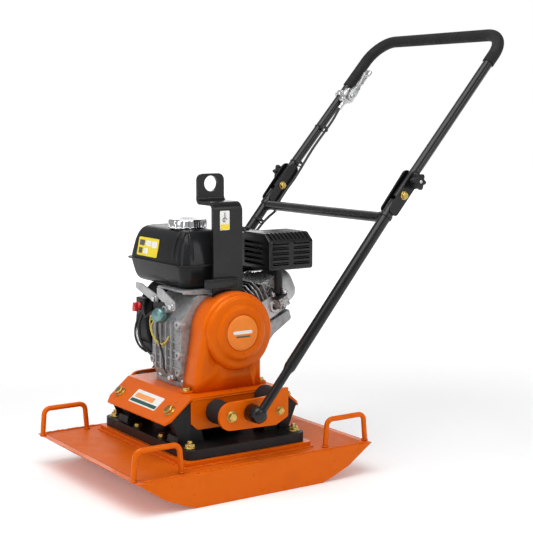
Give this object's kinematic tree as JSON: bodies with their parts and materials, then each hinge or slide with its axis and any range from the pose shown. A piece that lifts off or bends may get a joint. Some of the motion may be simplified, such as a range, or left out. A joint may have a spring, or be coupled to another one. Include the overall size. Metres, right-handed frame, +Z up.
{
  "type": "plate compactor",
  "caption": "Forward plate compactor: steel base plate and exciter, petrol engine on a rubber-mounted console, belt cover, lifting eye and folding handle.",
  "frame": {"origin": "on the ground under the middle of the base plate", "axes": "+Z up, -Y the travelling direction, +Y the operator's side, +X the belt side"},
  "size_m": [0.527, 0.9456, 0.9419],
  "materials": {
    "orange_paint": "glossy orange powder coat over welded and folded steel",
    "black_casting": "satin black painted casting",
    "black_paint": "semi-gloss black powder coat",
    "tank_paint": "satin black baked paint on pressed steel",
    "black_plastic": "moulded black plastic, fine texture",
    "black_rubber": "matt black rubber",
    "cast_aluminium": "as-cast grey aluminium",
    "bare_steel": "plain machined or pressed steel",
    "zinc_plate": "yellow passivated zinc plating",
    "chrome_plate": "bright chrome plating",
    "red_plastic": "glossy red plastic"
  },
  "bodies": {
    "machine": {"base_shell": "orange_paint", "deck_plate": "orange_paint", "mounting_pad": "orange_paint", "engine_console": "orange_paint", "belt_cover": "orange_paint", "handle_bracket_left": "orange_paint", "handle_bracket_right": "orange_paint", "lift_handle_front_left": "orange_paint", "lift_handle_front_right": "orange_paint", "lift_handle_rear_left": "orange_paint", "lift_handle_rear_right": "orange_paint", "exciter_housing": "black_casting", "exciter_end_cover_left": "black_casting", "exciter_end_cover_right": "black_casting", "lifting_bracket": "black_paint", "muffler_guard": "black_paint", "fuel_tank": "tank_paint", "fan_housing": "black_plastic", "recoil_cover": "black_plastic", "air_cleaner": "black_plastic", "v_belt": "black_rubber", "throttle_cable_engine": "black_rubber", "isolator_front_left": "black_rubber", "isolator_front_right": "black_rubber", "isolator_rear_left": "black_rubber", "isolator_rear_right": "black_rubber", "bracket_buffer_front_left": "black_rubber", "bracket_buffer_front_right": "black_rubber", "bracket_buffer_rear_left": "black_rubber", "bracket_buffer_rear_right": "black_rubber", "crankcase": "cast_aluminium", "cylinder": "cast_aluminium", "cylinder_head": "cast_aluminium", "carburettor": "cast_aluminium", "tank_bracket": "cast_aluminium", "exciter_bearing_left": "bare_steel", "exciter_bearing_right": "bare_steel", "muffler": "bare_steel", "rocker_cover": "bare_steel"},
    "engine_rotor": {"crankshaft": "bare_steel", "flywheel": "cast_aluminium", "clutch_drum": "bare_steel"},
    "exciter_rotor": {"eccentric_shaft": "bare_steel", "exciter_pulley": "bare_steel"},
    "lower_handle": {"lower_handle": "black_paint", "hinge_bolt_left": "zinc_plate", "hinge_bolt_right": "zinc_plate", "throttle_cable_lower": "black_rubber"},
    "upper_handle": {"upper_handle": "black_paint", "throttle_clamp": "cast_aluminium", "throttle_cable_upper": "black_rubber"},
    "knob_left": {"star_knob_left": "black_plastic"},
    "knob_right": {"star_knob_right": "black_plastic"},
    "throttle_lever": {"throttle_lever": "cast_aluminium"},
    "engine_switch": {"engine_switch": "red_plastic"},
    "starter_grip": {"starter_grip": "black_rubber"},
    "fuel_cap": {"fuel_cap": "chrome_plate"}
  },
  "joints": [
    {"name": "handle_pivot", "type": "hinge", "parent": "machine", "child": "lower_handle", "pos_m": [0, -0.003, 0.163], "axis": [1, 0, 0], "range_deg": [0, 75]},
    {"name": "handle_fold", "type": "hinge", "parent": "lower_handle", "child": "upper_handle", "pos_m": [0, 0.35004, 0.58734], "axis": [1, 0, 0], "range_deg": [0, 115]},
    {"name": "knob_left_turn", "type": "hinge", "parent": "lower_handle", "child": "knob_left", "pos_m": [-0.25, 0.37435, 0.61655], "axis": [1, 0, 0], "continuous": true},
    {"name": "knob_right_turn", "type": "hinge", "parent": "lower_handle", "child": "knob_right", "pos_m": [0.25, 0.37435, 0.61655], "axis": [1, 0, 0], "continuous": true},
    {"name": "throttle", "type": "hinge", "parent": "upper_handle", "child": "throttle_lever", "pos_m": [-0.185, 0.53701, 0.79978], "axis": [1, 0, 0], "range_deg": [0, 60]},
    {"name": "switch_turn", "type": "hinge", "parent": "machine", "child": "engine_switch", "pos_m": [-0.118, -0.086, 0.346], "axis": [0, 1, 0], "range_deg": [0, 45]},
    {"name": "starter_pull", "type": "slide", "parent": "machine", "child": "starter_grip", "axis": [0, 0.6, 0.8], "range_m": [0, 0.14], "stiffness_N_per_m": 25, "springref_m": -0.05},
    {"name": "fuel_cap_turn", "type": "hinge", "parent": "machine", "child": "fuel_cap", "pos_m": [-0.035, -0.013, 0.53], "axis": [0, 0, 1], "range_deg": [0, 90]},
    {"name": "engine_spin", "type": "hinge", "parent": "machine", "child": "engine_rotor", "pos_m": [0, 0.026, 0.308], "axis": [1, 0, 0], "continuous": true},
    {"name": "exciter_spin", "type": "hinge", "parent": "machine", "child": "exciter_rotor", "pos_m": [0, 0.01, 0.142], "axis": [1, 0, 0], "continuous": true}
  ],
  "couplings": [
    {"joint": "exciter_spin", "follows": "engine_spin", "ratio": 1.6291}
  ]
}
